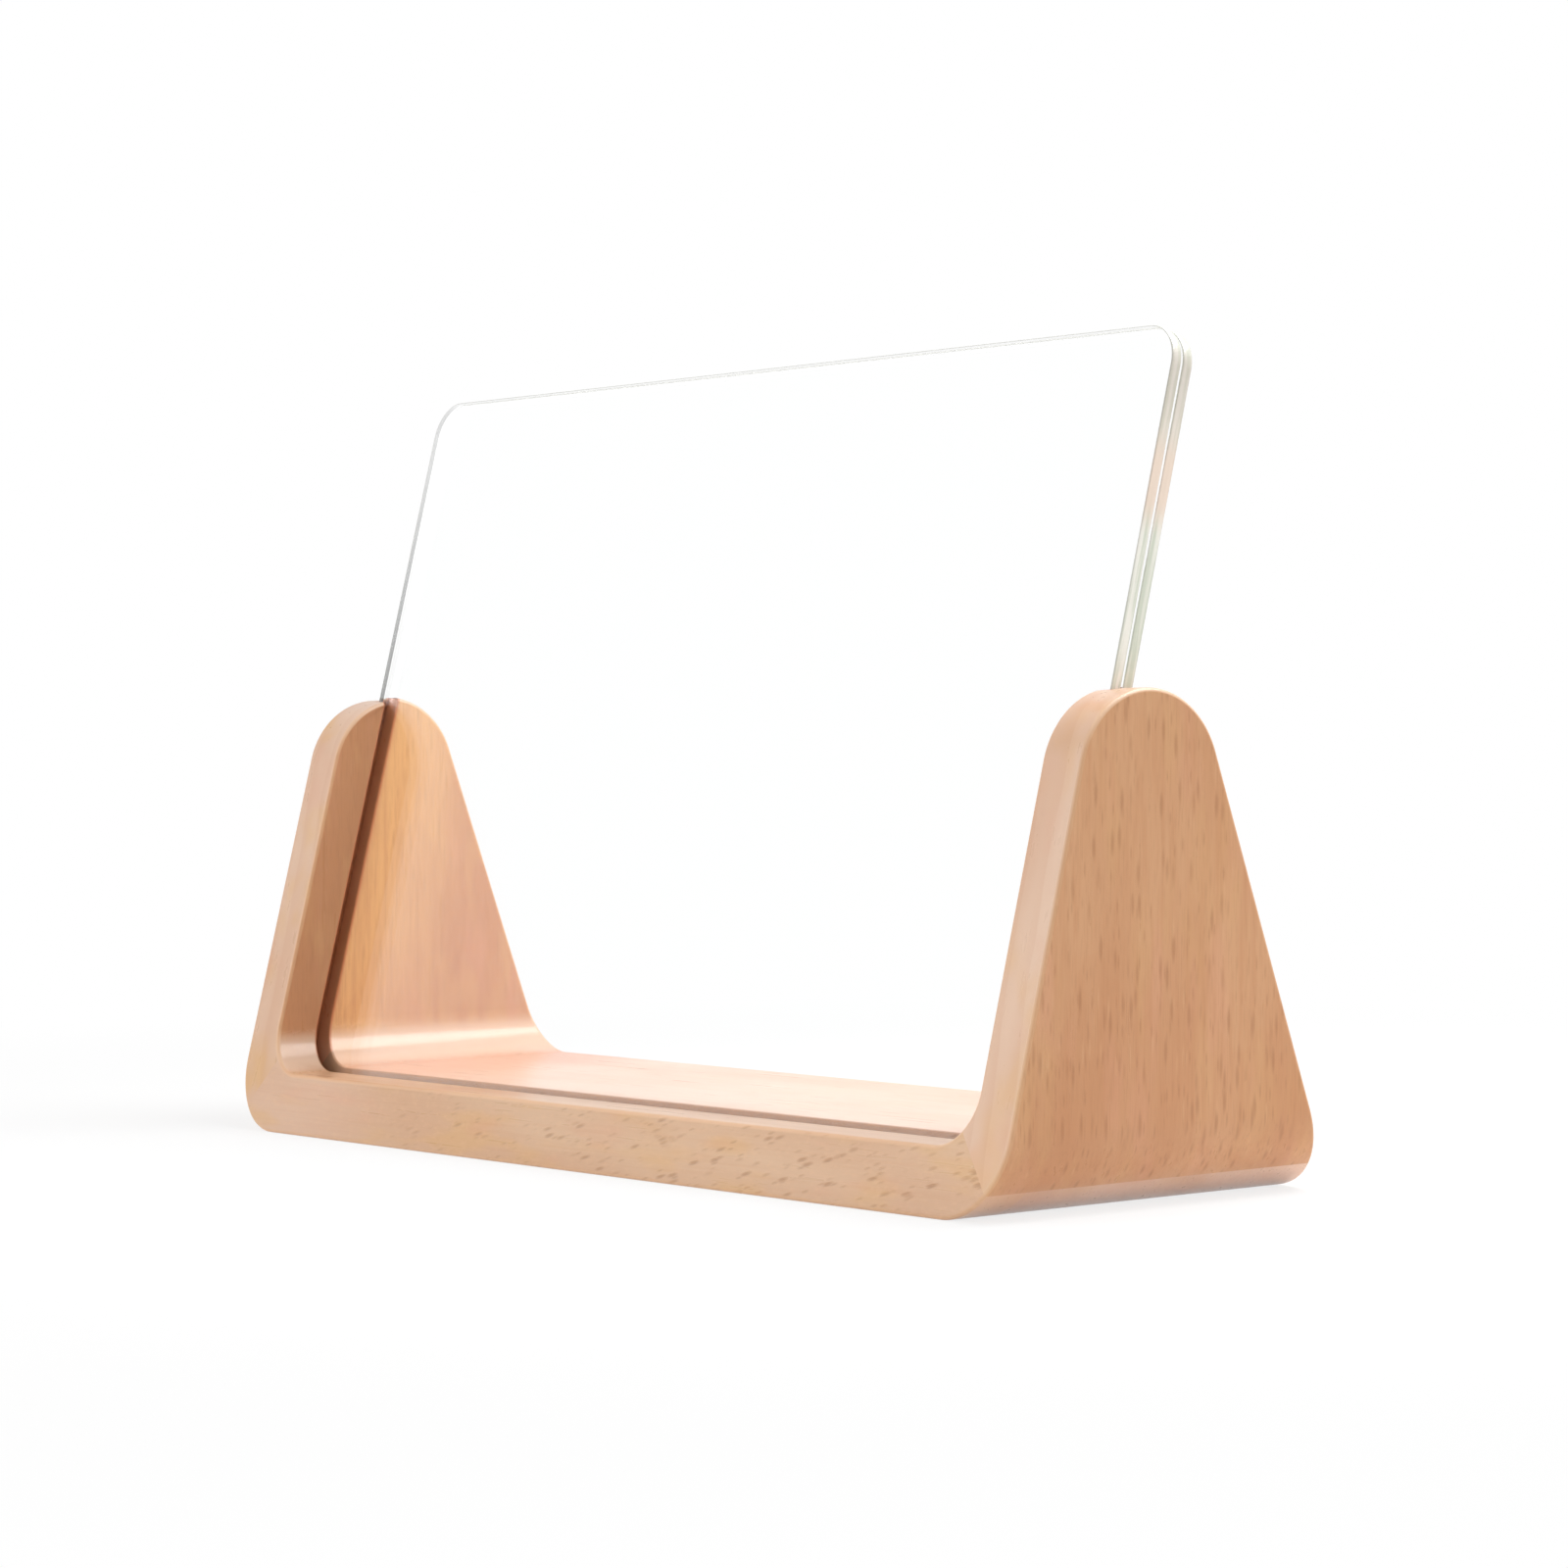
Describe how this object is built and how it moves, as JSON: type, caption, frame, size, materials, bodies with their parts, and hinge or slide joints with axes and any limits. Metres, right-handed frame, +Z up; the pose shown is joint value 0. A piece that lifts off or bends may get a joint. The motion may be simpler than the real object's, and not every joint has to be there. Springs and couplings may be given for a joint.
{
  "type": "u-shaped photo frame",
  "caption": "U-shaped wooden photo stand with a slanted groove round its inside, holding clear panes upright that lift out to take a print.",
  "frame": {"origin": "middle of the face that the stand rests on", "axes": "+X along the width, to the right as seen from the front; +Y back, the way the panes lean; +Z up"},
  "size_m": [0.1664, 0.0536, 0.1034],
  "materials": {
    "beech": "satin, clear oiled beech",
    "tongue_wood": "plain sawn beech, hidden",
    "clear_acrylic": "clear, polished faces, faintly green edges"
  },
  "bodies": {
    "stand": {"base_board": "beech", "left_upright": "beech", "right_upright": "beech", "left_tongue": "tongue_wood", "right_tongue": "tongue_wood"},
    "front_sheet": {"front_pane": "clear_acrylic"},
    "rear_sheet": {"rear_pane": "clear_acrylic"}
  },
  "joints": [
    {"name": "front_pane_lift", "type": "slide", "parent": "stand", "child": "front_sheet", "axis": [0, 0.2588, 0.9659], "range_m": [0, 0.064]},
    {"name": "rear_pane_lift", "type": "slide", "parent": "stand", "child": "rear_sheet", "axis": [0, 0.2588, 0.9659], "range_m": [0, 0.064]}
  ]
}
